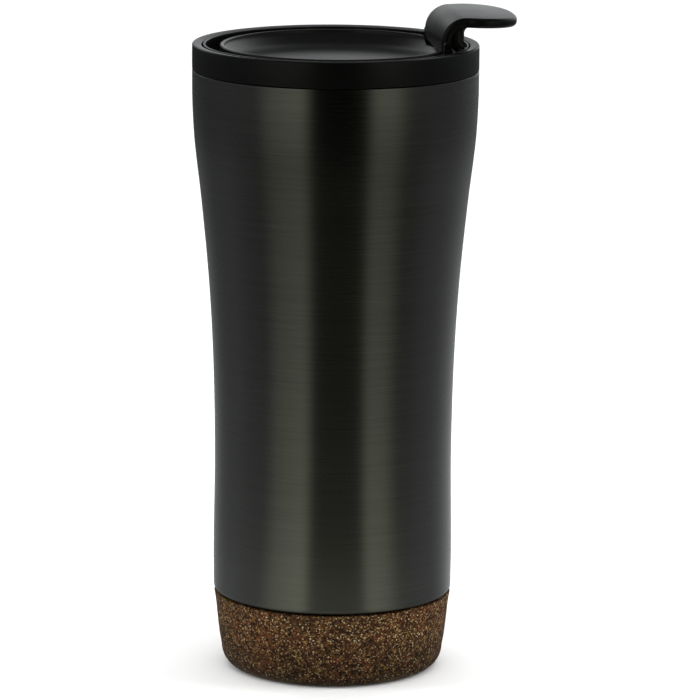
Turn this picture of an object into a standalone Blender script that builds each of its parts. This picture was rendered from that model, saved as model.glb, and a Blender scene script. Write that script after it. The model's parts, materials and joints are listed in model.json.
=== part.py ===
"""Insulated travel tumbler with a cork base and a flip-up lid.

Metres, +Z up. The origin is the centre of the flat foot that the cup stands on. The lid's lever
points to +X, turned a few degrees towards +Y.
"""

import math

import bmesh
import bpy
from mathutils import Matrix, Vector

MM = 0.001
GAP = 0.3  # clearance between pieces that touch on the real cup, mm

# Driving dimensions, in millimetres.
RIM_HEIGHT = 195.3
RIM_RADIUS = 44.0
COLLAR_HEIGHT = 7.8
COLLAR_TOP_WALL = 2.9
STEEL = 0.6
NECK_RADIUS = 42.3
NECK_TOP = 191.6
CORK_HEIGHT = 23.6
BOSS_RADIUS = 33.2
BOSS_BOTTOM = 9.2
MOUTH_RADIUS = 41.0
LEDGE_HEIGHT = 186.0
CUP_FLOOR = 14.5

# (height, outer radius) of the waisted steel wall, and (height, inner radius) of the inner cup.
WALL_STATIONS = (
    (26.0, 37.0),
    (38.0, 37.1),
    (67.7, 36.77),
    (96.3, 37.3),
    (121.5, 38.7),
    (146.6, 41.05),
    (165.3, 43.2),
    (177.7, 43.9),
    (187.2, 44.0),
)
INNER_STATIONS = (
    (26.0, 31.0),
    (45.0, 31.6),
    (67.7, 32.0),
    (96.3, 32.6),
    (121.5, 34.0),
    (146.6, 36.4),
    (165.3, 38.5),
    (177.7, 39.1),
    (185.4, 39.2),
)
CORK_STATIONS = (
    (6.0, 34.5),
    (10.0, 35.2),
    (16.0, 35.9),
    (20.0, 36.3),
    (23.2, 36.8),
)
FOOT_FLAT_RADIUS = 29.5

# Lid, as heights above the rim (negative is below it).
RING_INNER = 39.9
RING_OUTER = 40.7
MOAT_FLOOR = -6.0
DECK_UNDERSIDE = -7.6
SKIRT_OUTER = 38.5
SKIRT_INNER = 35.6
SKIRT_BOTTOM = -18.0
GROOVE_TOP = -11.0
GROOVE_BOTTOM = -14.6
GROOVE_RADIUS = 37.2
PLATFORM_TOP = -2.5
PLATFORM_INNER = 35.8
PLATFORM_HALF_ANGLE = 48.0
DISH_OUTER = 35.5
DISH_LIP_TOP = -0.3
DISH_FLOOR = -5.0
DISH_FLOOR_RADIUS = 27.7
DISH_SLOPE_TOP = 34.2
DISH_UNDERSIDE = -5.7

# Lever. "Out" is the distance from the cup's axis, measured along the direction the lever points.
LEVER_DIRECTION = 7.5  # degrees from +X towards +Y
LEVER_HALF_WIDTH = 18.0
LEVER_THICKNESS = 3.0
BEND_OUT = 37.5
BEND_RISE = 2.1
BEND_RADIUS = 7.4
HINGE_OUT = BEND_OUT - BEND_RADIUS + LEVER_THICKNESS / 2
HINGE_RISE = 1.3
FOOT_RISE = -0.4  # centre of the round foot, under the hinge
TAB_START = 38.0
TAB_FLARE = 2.0  # how much wider the tab grows on each side
TAB_SQUARENESS = 2.6  # 2 gives the end an elliptical outline, and more makes it squarer
TIP_OUT = 55.3
TAB_DROOP = 0.0025  # sag of the tab, mm for each mm squared past the bend
BLOCK_OUT = 37.4
BLOCK_HALF_WIDTH = 16.8
BLOCK_BOTTOM = 0.3
PIN_RADIUS = 0.6
PIN_BORE = 0.75
PIN_HALF_LENGTH = 20.3
LUG_RADIUS = 1.2
LUG_INNER_SIDE = 18.9
LUG_OUTER_SIDE = 20.6
SLOT_OUT = (36.3, 38.3)
SLOT_HALF_WIDTH = 5.0
STEM_OUT = 36.6
STEM_RADIUS = 0.8

# Colour, roughness and metallic value of each finish.
FINISHES = {
    "dark_brushed_steel": ((0.075, 0.076, 0.066), 0.34, 1.0),
    "bare_steel": ((0.55, 0.54, 0.52), 0.3, 1.0),
    "black_plastic": ((0.012, 0.012, 0.013), 0.42, 0.0),
    "pressed_cork": ((0.105, 0.055, 0.028), 0.8, 0.0),
    "black_silicone": ((0.02, 0.02, 0.02), 0.6, 0.0),
    "adhesive": ((0.6, 0.58, 0.52), 0.7, 0.0),
}

SEGMENTS = 48
ARC_STEP = 15.0  # degrees of arc for each straight facet in a small rounding


# Scene and materials


def clear_scene():
    for old in list(bpy.data.objects):
        bpy.data.objects.remove(old)


def new_collection(name):
    collection = bpy.data.collections.new(name)
    bpy.context.scene.collection.children.link(collection)
    return collection


def material(piece_name, finish):
    """A piece's own material, in one of the finishes."""
    colour, roughness, metallic = FINISHES[finish]
    made = bpy.data.materials.new(f"{piece_name}_{finish}")
    made.use_nodes = True
    shader = made.node_tree.nodes["Principled BSDF"]
    shader.inputs["Base Color"].default_value = (*colour, 1.0)
    shader.inputs["Roughness"].default_value = roughness
    shader.inputs["Metallic"].default_value = metallic
    made.diffuse_color = (*colour, 1.0)
    return made


# Outlines: lists of (distance out, height) or (x, y) in millimetres


def arc(centre, radius, start, end):
    """Points on a circle from the start angle to the end angle, in degrees, both ends included."""
    count = max(2, math.ceil(abs(end - start) / ARC_STEP))
    angles = [math.radians(start + (end - start) * i / count) for i in range(count + 1)]
    return [(centre[0] + radius * math.cos(a), centre[1] + radius * math.sin(a)) for a in angles]


def radius_at(stations, height):
    """Radius at a height, on the smooth curve through the stations."""
    last = len(stations) - 1

    def slope(i):
        low = stations[max(i - 1, 0)]
        high = stations[min(i + 1, last)]
        return (high[1] - low[1]) / (high[0] - low[0])

    i = 0
    while i < last - 1 and height > stations[i + 1][0]:
        i += 1
    (z0, r0), (z1, r1) = stations[i], stations[i + 1]
    span = z1 - z0
    u = (height - z0) / span
    return (
        r0 * (2 * u**3 - 3 * u**2 + 1)
        + slope(i) * span * (u**3 - 2 * u**2 + u)
        + r1 * (3 * u**2 - 2 * u**3)
        + slope(i + 1) * span * (u**3 - u**2)
    )


def wall(stations, top, bottom, facets, inset=0.0):
    """Points down a smooth wall, from its top height to its bottom height."""
    heights = [top + (bottom - top) * i / facets for i in range(facets + 1)]
    return [(radius_at(stations, z) - inset, z) for z in heights]


# Solids


def add_object(name, mesh, collection, finish=None):
    made = bpy.data.objects.new(name, mesh)
    collection.objects.link(made)
    if finish:
        mesh.materials.append(material(name, finish))
    return made


def turned(name, outline, collection, finish=None, ring=True):
    """Solid turned about Z. A ring's outline is closed; otherwise it starts and ends on the axis."""
    count = len(outline)
    edges = [(i, i + 1) for i in range(count - 1)]
    if ring:
        edges.append((count - 1, 0))
    mesh = bpy.data.meshes.new(name)
    mesh.from_pydata([(r * MM, 0.0, z * MM) for r, z in outline], edges, [])
    made = add_object(name, mesh, collection, finish)
    screw = made.modifiers.new("Turn", "SCREW")
    screw.steps = SEGMENTS
    screw.render_steps = SEGMENTS
    screw.use_merge_vertices = True
    screw.merge_threshold = 0.00001
    screw.use_smooth_shade = False
    return made


def plate(name, outline, low, high, collection, finish=None, upright=False):
    """Flat outline given thickness from low to high.

    It lies in XY with its thickness along Z. An upright one stands in XZ, with its thickness along Y.
    """
    curve = bpy.data.curves.new(name, "CURVE")
    curve.dimensions = "2D"
    curve.fill_mode = "BOTH"
    curve.extrude = (high - low) / 2 * MM
    spline = curve.splines.new("POLY")
    spline.points.add(len(outline) - 1)
    for point, (x, y) in zip(spline.points, outline):
        point.co = (x * MM, y * MM, 0.0, 1.0)
    spline.use_cyclic_u = True
    guide = bpy.data.objects.new(name + "_guide", curve)
    bpy.context.scene.collection.objects.link(guide)
    graph = bpy.context.evaluated_depsgraph_get()
    mesh = bpy.data.meshes.new_from_object(guide.evaluated_get(graph))
    mesh.name = name
    bpy.data.objects.remove(guide)
    shift = Matrix.Translation((0.0, 0.0, (low + high) / 2 * MM))
    mesh.transform(shift)
    if upright:
        mesh.transform(Matrix.Rotation(math.radians(90), 4, "X"))
    weld_and_face_out(mesh)
    return add_object(name, mesh, collection, finish)


def weld_and_face_out(mesh):
    shape = bmesh.new()
    shape.from_mesh(mesh)
    bmesh.ops.remove_doubles(shape, verts=shape.verts, dist=0.000001)
    bmesh.ops.recalc_face_normals(shape, faces=shape.faces)
    shape.to_mesh(mesh)
    shape.free()


def rod(name, radius, start, end, collection, finish=None, sides=16):
    """Round bar from one point to another, in millimetres."""
    start = Vector(start) * MM
    end = Vector(end) * MM
    length = (end - start).length
    mesh = bpy.data.meshes.new(name)
    shape = bmesh.new()
    bmesh.ops.create_cone(
        shape, cap_ends=True, segments=sides, radius1=radius * MM, radius2=radius * MM, depth=length
    )
    shape.to_mesh(mesh)
    shape.free()
    turn = (end - start).to_track_quat("Z", "Y").to_matrix().to_4x4()
    mesh.transform(Matrix.Translation((start + end) / 2) @ turn)
    return add_object(name, mesh, collection, finish)


def rounded_rectangle(low, high, corner):
    """Outline of a rectangle with round corners, anticlockwise."""
    (x0, y0), (x1, y1) = low, high
    return (
        arc((x1 - corner, y0 + corner), corner, -90, 0)
        + arc((x1 - corner, y1 - corner), corner, 0, 90)
        + arc((x0 + corner, y1 - corner), corner, 90, 180)
        + arc((x0 + corner, y0 + corner), corner, 180, 270)
    )


def combine(target, other, operation):
    """Adds a Boolean of the target with another object, which is then only a helper."""
    boolean = target.modifiers.new(other.name, "BOOLEAN")
    boolean.operation = operation
    boolean.object = other
    boolean.solver = "EXACT"
    other.hide_render = True
    other.display_type = "WIRE"


def place_in_lid(piece):
    """Turns a piece made in the lever's frame to the lever's direction and lifts it to the rim."""
    piece.matrix_world = LEVER_FRAME


def place_at_hinge(piece):
    """As place_in_lid, with the piece's own origin on the hinge axis."""
    hinge = Matrix.Translation(Vector((HINGE_OUT, 0.0, HINGE_RISE)) * MM)
    piece.data.transform(hinge.inverted())
    piece.matrix_world = LEVER_FRAME @ hinge


# Cup


def make_outer_shell(collection, finish):
    shoulder = RIM_HEIGHT - COLLAR_HEIGHT - GAP
    edge = 1.5
    boss_top = CORK_HEIGHT + GAP + 0.1
    wall_foot = boss_top + edge
    outside = (
        [(NECK_RADIUS, NECK_TOP), (NECK_RADIUS, shoulder + 0.4)]
        + [(NECK_RADIUS + 0.4, shoulder), (RIM_RADIUS - 0.3, shoulder)]
        + wall(WALL_STATIONS, shoulder - 0.3, wall_foot, 14)
        + arc((radius_at(WALL_STATIONS, wall_foot) - edge, wall_foot), edge, 0, -90)[1:]
        + [(BOSS_RADIUS, boss_top), (BOSS_RADIUS, BOSS_BOTTOM)]
    )
    inside = (
        [(BOSS_RADIUS - STEEL, BOSS_BOTTOM), (BOSS_RADIUS - STEEL, boss_top + STEEL)]
        + [(radius_at(WALL_STATIONS, wall_foot) - edge, boss_top + STEEL)]
        + wall(WALL_STATIONS, wall_foot + 0.5, shoulder - STEEL, 14, inset=STEEL)
        + [(NECK_RADIUS - 0.5, shoulder - STEEL), (NECK_RADIUS - 0.5, NECK_TOP)]
    )
    return turned("outer_shell", outside + inside, collection, finish)


def make_shell_end_cap(collection, finish):
    rim = BOSS_RADIUS - STEEL - GAP
    low = BOSS_BOTTOM
    outline = [
        (0.0, low + 1.4),
        (24.0, low + 1.4),
        (27.0, low + STEEL),
        (rim - STEEL, low + STEEL),
        (rim - STEEL, low + 3.2),
        (rim, low + 3.2),
        (rim, low),
        (27.2, low),
        (24.2, low + 0.8),
        (0.0, low + 0.8),
    ]
    return turned("shell_end_cap", outline, collection, finish, ring=False)


def make_inner_cup(collection, finish):
    sheet = 0.5
    lip_top = NECK_TOP + GAP + sheet
    corner = 9.0
    side = radius_at(INNER_STATIONS, CUP_FLOOR + corner + 2.5)
    turn_height = CUP_FLOOR + corner
    inside = (
        [(MOUTH_RADIUS, lip_top), (MOUTH_RADIUS, LEDGE_HEIGHT + 0.3)]
        + [(MOUTH_RADIUS - 0.3, LEDGE_HEIGHT), (INNER_STATIONS[-1][1] + 0.2, LEDGE_HEIGHT)]
        + wall(INNER_STATIONS, LEDGE_HEIGHT - 0.6, turn_height + 2.5, 12)
        + arc((side - corner, turn_height), corner, 0, -90)
        + [(0.0, CUP_FLOOR)]
    )
    outside = (
        [(0.0, CUP_FLOOR - sheet)]
        + arc((side - corner, turn_height), corner + sheet, -90, 0)
        + wall(INNER_STATIONS, turn_height + 2.5, LEDGE_HEIGHT - 1.0, 12, inset=-sheet)
        + [(MOUTH_RADIUS + sheet, LEDGE_HEIGHT - sheet), (MOUTH_RADIUS + sheet, lip_top - sheet)]
        + [(NECK_RADIUS, lip_top - sheet), (NECK_RADIUS, lip_top)]
    )
    # The bowl's inner face runs down and its outer face runs up, so the outline is reversed.
    outline = list(reversed(inside + outside))
    start = outline.index((0.0, CUP_FLOOR))
    return turned("inner_cup", outline[start:] + outline[:start], collection, finish, ring=False)


def make_collar(collection, finish):
    top = RIM_HEIGHT
    bottom = top - COLLAR_HEIGHT
    bore = RIM_RADIUS - COLLAR_TOP_WALL
    web_underside = top - 1.7
    skirt_bore = NECK_RADIUS + GAP
    outline = (
        arc((RIM_RADIUS - 1.0, top - 1.0), 1.0, 90, 0)
        + [(RIM_RADIUS, bottom), (skirt_bore, bottom)]
        + [(skirt_bore, web_underside), (bore, web_underside)]
        + arc((bore + 0.6, top - 0.6), 0.6, 180, 90)
    )
    return turned("collar", outline, collection, finish)


def make_collar_seal(collection, finish):
    low = NECK_TOP + GAP + 0.5 + GAP
    outline = [(42.2, low + 0.6), (42.2, low), (41.3, low), (41.3, low + 0.6)]
    return turned("collar_seal", outline, collection, finish)


def make_cork_base(collection, finish):
    side_foot = CORK_STATIONS[0][0]
    foot_round = (radius_at(CORK_STATIONS, side_foot) - FOOT_FLAT_RADIUS, side_foot)
    bore = BOSS_RADIUS + GAP
    socket_floor = BOSS_BOTTOM - 1.2
    side = wall(CORK_STATIONS, CORK_HEIGHT - 0.4, side_foot, 6)
    quarter = arc((0.0, 0.0), 1.0, 0, -90)[1:]
    rounding = [(FOOT_FLAT_RADIUS + foot_round[0] * x, side_foot + foot_round[1] * y) for x, y in quarter]
    outline = (
        [(0.0, socket_floor), (bore, socket_floor), (bore, CORK_HEIGHT)]
        + [(side[0][0] - 0.5, CORK_HEIGHT)]
        + side
        + rounding
        + [(0.0, 0.0)]
    )
    return turned("cork_base", outline, collection, finish, ring=False)


def make_base_pad(collection, finish):
    """Die-cut adhesive pad that holds the cork to the steel."""
    low = BOSS_BOTTOM - 0.9
    outline = [(0.0, low + 0.5), (31.0, low + 0.5), (31.0, low), (0.0, low)]
    return turned("base_pad", outline, collection, finish, ring=False)


# Lid


def make_lid_housing(collection, helpers, finish):
    outline = (
        [(0.0, MOAT_FLOOR), (PLATFORM_INNER, MOAT_FLOOR)]
        + [(PLATFORM_INNER, PLATFORM_TOP), (RING_INNER, PLATFORM_TOP)]
        + [(RING_INNER, -0.45), (RING_INNER + 0.25, -0.2), (RING_OUTER - 0.25, -0.2), (RING_OUTER, -0.45)]
        + [(RING_OUTER, -9.0), (SKIRT_OUTER, -9.0)]
        + [(SKIRT_OUTER, GROOVE_TOP), (GROOVE_RADIUS, GROOVE_TOP)]
        + [(GROOVE_RADIUS, GROOVE_BOTTOM), (SKIRT_OUTER, GROOVE_BOTTOM)]
        + [(SKIRT_OUTER, SKIRT_BOTTOM + 0.5), (SKIRT_OUTER - 0.5, SKIRT_BOTTOM)]
        + [(SKIRT_INNER, SKIRT_BOTTOM), (SKIRT_INNER, DECK_UNDERSIDE), (0.0, DECK_UNDERSIDE)]
    )
    housing = turned("lid_housing", outline, collection, finish, ring=False)
    place_in_lid(housing)
    for cutter in (make_moat_cutter(helpers), make_sip_slot(helpers), make_vent_hole(helpers)):
        combine(housing, cutter, "DIFFERENCE")
    for side in (-1, 1):
        combine(housing, make_lug(side, helpers), "UNION")
    pin_hole = rod(
        "lug_hole",
        PIN_BORE,
        (HINGE_OUT, -LUG_OUTER_SIDE - 1.0, HINGE_RISE),
        (HINGE_OUT, LUG_OUTER_SIDE + 1.0, HINGE_RISE),
        helpers,
    )
    place_in_lid(pin_hole)
    combine(housing, pin_hole, "DIFFERENCE")
    return housing


def make_moat_cutter(helpers):
    """Ring-shaped groove beside the dish, left out of the sector where the platform stands."""
    outline = [
        (RING_INNER - 0.02, 0.5),
        (RING_INNER - 0.02, MOAT_FLOOR),
        (PLATFORM_INNER - 0.5, MOAT_FLOOR),
        (PLATFORM_INNER - 0.5, 0.5),
    ]
    groove = turned("moat_cutter", outline, helpers)
    reach = 60.0
    half = math.radians(PLATFORM_HALF_ANGLE)
    corner = (reach * math.cos(half), reach * math.sin(half))
    sector = [(0.0, 0.0), (corner[0], -corner[1]), (reach, -corner[1]), (reach, corner[1]), corner]
    platform = plate("platform_sector", sector, MOAT_FLOOR - 1.0, 1.5, helpers)
    place_in_lid(groove)
    place_in_lid(platform)
    combine(groove, platform, "DIFFERENCE")
    return groove


def make_sip_slot(helpers):
    """Slot down through the platform that turns inwards under the deck."""
    near, far = SLOT_OUT
    passage = [
        (near, 1.0),
        (near, -6.6),
        (SKIRT_INNER - 3.0, -6.6),
        (SKIRT_INNER - 3.0, -8.6),
        (far, -8.6),
        (far, 1.0),
    ]
    slot = plate("sip_slot", passage, -SLOT_HALF_WIDTH, SLOT_HALF_WIDTH, helpers, upright=True)
    place_in_lid(slot)
    return slot


def make_vent_hole(helpers):
    middle = -(RING_INNER + DISH_OUTER) / 2
    start = (middle, 0.0, MOAT_FLOOR + 1.0)
    end = (SKIRT_INNER * -1 + 1.5, 0.0, DECK_UNDERSIDE - 1.5)
    vent = rod("vent_hole", 0.75, start, end, helpers, sides=12)
    place_in_lid(vent)
    return vent


def make_lug(side, helpers):
    """Hinge lug with a round top, standing on the platform beside the lever."""
    outline = [(HINGE_OUT - LUG_RADIUS, PLATFORM_TOP - 0.5), (HINGE_OUT + LUG_RADIUS, PLATFORM_TOP - 0.5)]
    outline += arc((HINGE_OUT, HINGE_RISE), LUG_RADIUS, 0, 180)
    low, high = sorted((-side * LUG_INNER_SIDE, -side * LUG_OUTER_SIDE))
    name = "lug_far" if side > 0 else "lug_near"
    lug = plate(name, outline, low, high, helpers, upright=True)
    place_in_lid(lug)
    return lug


def make_lid_gasket(collection, finish):
    """Silicone ring with two sealing fins, in the groove of the skirt."""
    body = GROOVE_RADIUS + GAP
    low = GROOVE_BOTTOM + GAP
    high = GROOVE_TOP - GAP
    fin = 38.9
    root = 38.2
    middle = (low + high) / 2
    outline = [
        (root, high),
        (fin, high - 0.4),
        (fin, high - 0.8),
        (root, high - 1.1),
        (root, middle - 0.1),
        (fin, middle - 0.5),
        (fin, middle - 0.9),
        (root, low),
        (body, low),
        (body, high),
    ]
    gasket = turned("lid_gasket", outline, collection, finish)
    place_in_lid(gasket)
    return gasket


def make_lid_dish(collection, helpers, finish):
    lip_middle = (DISH_SLOPE_TOP + DISH_OUTER) / 2
    lip_half = (DISH_OUTER - DISH_SLOPE_TOP) / 2
    outline = (
        [(0.0, DISH_FLOOR), (DISH_FLOOR_RADIUS, DISH_FLOOR), (DISH_FLOOR_RADIUS + 1.6, DISH_FLOOR + 0.6)]
        + [(DISH_SLOPE_TOP - 1.2, DISH_LIP_TOP - 1.8)]
        + arc((lip_middle, DISH_LIP_TOP - lip_half), lip_half, 180, 0)
        + [(DISH_OUTER, DISH_UNDERSIDE), (DISH_OUTER - 1.1, DISH_UNDERSIDE)]
        + [(DISH_OUTER - 1.1, DISH_LIP_TOP - 3.6), (31.8, DISH_UNDERSIDE), (0.0, DISH_UNDERSIDE)]
    )
    dish = turned("lid_dish", outline, collection, finish, ring=False)
    place_in_lid(dish)
    room = LUG_OUTER_SIDE
    edge = HINGE_OUT - LEVER_THICKNESS / 2 - GAP
    corners = [(edge, -room), (40.0, -room), (40.0, room), (edge, room)]
    notch = plate("lever_notch", corners, PLATFORM_TOP - 0.2, 1.0, helpers)
    place_in_lid(notch)
    combine(dish, notch, "DIFFERENCE")
    return dish


def make_hinge_pin(collection, finish):
    start = (HINGE_OUT, -PIN_HALF_LENGTH, HINGE_RISE)
    end = (HINGE_OUT, PIN_HALF_LENGTH, HINGE_RISE)
    pin = rod("hinge_pin", PIN_RADIUS, start, end, collection, finish)
    place_at_hinge(pin)
    return pin


# Lever


def tab_top(out):
    return BEND_RISE + BEND_RADIUS - TAB_DROOP * max(out - BEND_OUT, 0.0) ** 2


def tab_outs():
    count = 6
    return [BEND_OUT + (TIP_OUT - 0.9 - BEND_OUT) * i / count for i in range(1, count + 1)]


def lever_ribbon_outline():
    """Side view of the J-shaped strip: round foot at the hinge, upright face, bend, drooping tab."""
    centre = (BEND_OUT, BEND_RISE)
    foot = LEVER_THICKNESS / 2
    upper = [(out, tab_top(out)) for out in tab_outs()]
    lower = [(out, tab_top(out) - LEVER_THICKNESS) for out in reversed(tab_outs())]
    tip = [(TIP_OUT, upper[-1][1] - 0.8), (TIP_OUT, lower[0][1] + 0.8)]
    return (
        arc((HINGE_OUT, FOOT_RISE), foot, 0, -180)
        + arc(centre, BEND_RADIUS, 180, 90)
        + upper
        + tip
        + lower
        + arc(centre, BEND_RADIUS - LEVER_THICKNESS, 90, 180)
    )


def lever_block_outline():
    """Side view of the block behind the strip: it fills the bend and flares to a foot over the slot."""
    middle = BEND_OUT - BEND_RADIUS + LEVER_THICKNESS / 2
    fillet = 1.9
    under_tab = BEND_RISE + BEND_RADIUS - LEVER_THICKNESS
    inner_side = LEVER_THICKNESS / 2
    return (
        [(middle, BLOCK_BOTTOM), (38.5, BLOCK_BOTTOM), (38.5, 0.9), (BLOCK_OUT, 2.4)]
        + arc((BLOCK_OUT + fillet, under_tab - fillet), fillet, 180, 90)
        + [(BLOCK_OUT + fillet, under_tab + inner_side)]
        + arc((BEND_OUT, BEND_RISE), BEND_RADIUS - inner_side, 90, 180)
    )


def tab_plan_outline():
    """Plan of the lever: straight sides, then a tab that flares a little and ends in a blunt round."""
    steps = 14
    end = []
    for i in range(steps + 1):
        angle = math.radians(-90 + 180 * i / steps)
        share = abs(math.cos(angle)) ** (2 / TAB_SQUARENESS)
        side = math.copysign(abs(math.sin(angle)) ** (2 / TAB_SQUARENESS), math.sin(angle))
        flared = LEVER_HALF_WIDTH + TAB_FLARE * (1 - (1 - share) ** 4)
        end.append((TAB_START + (TIP_OUT - TAB_START) * share, flared * side))
    return [(25.0, -LEVER_HALF_WIDTH)] + end + [(25.0, LEVER_HALF_WIDTH)]


def make_flip_lever(collection, helpers, finish):
    half = LEVER_HALF_WIDTH + TAB_FLARE
    lever = plate("flip_lever", lever_ribbon_outline(), -half, half, collection, finish, upright=True)
    place_at_hinge(lever)
    block_half = BLOCK_HALF_WIDTH
    block = plate("lever_block", lever_block_outline(), -block_half, block_half, helpers, upright=True)
    plan = plate("lever_plan", tab_plan_outline(), -10.0, 20.0, helpers)
    bore_ends = [(HINGE_OUT, y, HINGE_RISE) for y in (-half - 2.0, half + 2.0)]
    bore = rod("pin_bore", PIN_BORE, *bore_ends, helpers)
    stem_hole = rod(
        "stem_hole", STEM_RADIUS + GAP, (STEM_OUT, 0.0, -1.0), (STEM_OUT, 0.0, 2.5), helpers, sides=12
    )
    for helper in (block, plan, bore, stem_hole):
        place_in_lid(helper)
    combine(lever, block, "UNION")
    combine(lever, plan, "INTERSECT")
    combine(lever, bore, "DIFFERENCE")
    combine(lever, stem_hole, "DIFFERENCE")
    return lever


def make_stopper(collection, helpers, finish):
    """Silicone stopper under the lever: a flange, a tapering plug in the slot and a stem into the lever."""
    flange_outline = rounded_rectangle((35.9, -6.0), (38.6, 6.0), 1.2)
    stopper = plate("stopper", flange_outline, PLATFORM_TOP + GAP, 0.0, collection, finish)
    place_at_hinge(stopper)
    side_view = [(36.7, -1.0), (36.7, -3.4), (37.2, -3.4), (37.8, -1.0)]
    plug = plate("stopper_plug", side_view, -4.4, 4.4, helpers, upright=True)
    stem = rod("stopper_stem", STEM_RADIUS, (STEM_OUT, 0.0, -0.4), (STEM_OUT, 0.0, 2.1), helpers, sides=12)
    for helper in (plug, stem):
        place_in_lid(helper)
        combine(stopper, helper, "UNION")
    return stopper


clear_scene()
LEVER_FRAME = Matrix.Translation((0.0, 0.0, RIM_HEIGHT * MM)) @ Matrix.Rotation(
    math.radians(LEVER_DIRECTION), 4, "Z"
)
tumbler = new_collection("travel_tumbler")
cutters = new_collection("cutters")

make_outer_shell(tumbler, "dark_brushed_steel")
make_shell_end_cap(tumbler, "bare_steel")
make_inner_cup(tumbler, "bare_steel")
make_collar(tumbler, "black_plastic")
make_collar_seal(tumbler, "black_silicone")
make_cork_base(tumbler, "pressed_cork")
make_base_pad(tumbler, "adhesive")
make_lid_housing(tumbler, cutters, "black_plastic")
make_lid_gasket(tumbler, "black_silicone")
make_lid_dish(tumbler, cutters, "black_plastic")
make_hinge_pin(tumbler, "black_plastic")
make_flip_lever(tumbler, cutters, "black_plastic")
make_stopper(tumbler, cutters, "black_silicone")
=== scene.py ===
"""Insulated travel tumbler with a cork base and a flip-up lid: its looks, a studio and a camera.

Lengths are in millimetres in the outlines below and in metres in Blender. Heights of the lid and
the lever are measured from the rim.
"""

import json
import math

import bmesh
import bpy
from mathutils import Matrix, Vector


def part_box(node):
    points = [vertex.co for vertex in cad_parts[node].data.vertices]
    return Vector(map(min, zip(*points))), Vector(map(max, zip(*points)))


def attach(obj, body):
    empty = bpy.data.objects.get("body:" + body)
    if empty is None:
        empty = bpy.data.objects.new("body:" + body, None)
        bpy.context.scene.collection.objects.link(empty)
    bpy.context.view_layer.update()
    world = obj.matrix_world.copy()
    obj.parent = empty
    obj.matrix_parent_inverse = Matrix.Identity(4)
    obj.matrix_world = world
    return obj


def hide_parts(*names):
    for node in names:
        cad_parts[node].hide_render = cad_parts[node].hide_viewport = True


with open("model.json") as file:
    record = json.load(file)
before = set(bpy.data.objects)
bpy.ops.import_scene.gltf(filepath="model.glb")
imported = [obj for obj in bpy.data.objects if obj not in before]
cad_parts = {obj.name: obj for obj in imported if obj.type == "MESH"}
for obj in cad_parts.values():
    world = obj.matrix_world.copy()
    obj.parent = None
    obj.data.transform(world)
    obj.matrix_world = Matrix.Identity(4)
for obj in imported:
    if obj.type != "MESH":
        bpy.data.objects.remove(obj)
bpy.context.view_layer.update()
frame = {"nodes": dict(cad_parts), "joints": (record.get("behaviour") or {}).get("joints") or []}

MM = 0.001
TURN_SEGMENTS = 192
ARC_STEP = 9.0

RIM_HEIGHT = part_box("collar")[1].z / MM
RIM_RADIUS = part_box("collar")[1].x / MM
COLLAR_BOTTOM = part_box("collar")[0].z / MM
NECK_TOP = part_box("outer_shell")[1].z / MM
SHELL_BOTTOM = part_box("outer_shell")[0].z / MM
CORK_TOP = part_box("cork_base")[1].z / MM

GAP = 0.3
STEEL = 0.6
BOSS_RADIUS = 33.2
NECK_RADIUS = 42.3
MOUTH_RADIUS = 41.0
LEDGE_HEIGHT = 186.0
CUP_FLOOR = 14.5

# (height, radius) of the waisted steel wall, of the inner cup and of the cork's side.
WALL_STATIONS = (
    (26.0, 37.0),
    (38.0, 37.1),
    (67.7, 36.77),
    (96.3, 37.3),
    (121.5, 38.7),
    (146.6, 41.05),
    (165.3, 43.2),
    (177.7, 43.9),
    (187.2, 44.0),
)
INNER_STATIONS = (
    (26.0, 31.0),
    (45.0, 31.6),
    (67.7, 32.0),
    (96.3, 32.6),
    (121.5, 34.0),
    (146.6, 36.4),
    (165.3, 38.5),
    (177.7, 39.1),
    (185.4, 39.2),
)
CORK_STATIONS = (
    (6.0, 34.5),
    (10.0, 35.2),
    (16.0, 35.9),
    (20.0, 36.3),
    (23.2, 36.8),
)
FOOT_FLAT_RADIUS = 29.5

# Lid
RING_INNER = 39.9
RING_OUTER = 40.7
RING_TOP = -0.2
RING_BOTTOM = -9.0
MOAT_FLOOR = -6.0
DECK_UNDERSIDE = -7.6
SKIRT_OUTER = 38.5
SKIRT_INNER = 35.6
SKIRT_BOTTOM = -18.0
GROOVE_TOP = -11.0
GROOVE_BOTTOM = -14.6
GROOVE_RADIUS = 37.2
PLATFORM_TOP = -2.5
PLATFORM_INNER = 35.8
PLATFORM_HALF_ANGLE = 48.0
DISH_OUTER = 35.5
DISH_LIP_TOP = -0.3
DISH_FLOOR = -5.0
DISH_FLOOR_RADIUS = 27.7
DISH_SLOPE_TOP = 34.2
DISH_UNDERSIDE = -5.7

# Lever: "out" is the distance from the cup's axis along the direction that the lever points in.
LEVER_HALF_WIDTH = 18.0
LEVER_THICKNESS = 3.0
BEND_OUT = 37.5
BEND_RISE = 2.1
BEND_RADIUS = 7.4
HINGE_OUT = BEND_OUT - BEND_RADIUS + LEVER_THICKNESS / 2
FOOT_RISE = -0.4
TAB_START = 38.0
TAB_FLARE = 2.0
TAB_SQUARENESS = 2.6
TIP_OUT = 55.3
TAB_DROOP = 0.0025
BLOCK_OUT = 37.4
BLOCK_HALF_WIDTH = 16.8
BLOCK_BOTTOM = 0.3
BLOCK_CORNER = 2.4
BLOCK_FOOT_OUT = 38.5
BLOCK_FOOT_TOP = 0.9
BLOCK_FACE_BOTTOM = 2.4
BLOCK_FILLET = 1.9
EDGE_ROUND = 1.2
UNDER_TAB = BEND_RISE + BEND_RADIUS - LEVER_THICKNESS
PIN_RADIUS = 0.6
PIN_BORE = 0.75
PIN_HALF_LENGTH = 20.3
LUG_RADIUS = 1.2
LUG_INNER_SIDE = 18.9
LUG_OUTER_SIDE = 20.6
SLOT_OUT = (36.3, 38.3)
SLOT_HALF_WIDTH = 5.0
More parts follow.
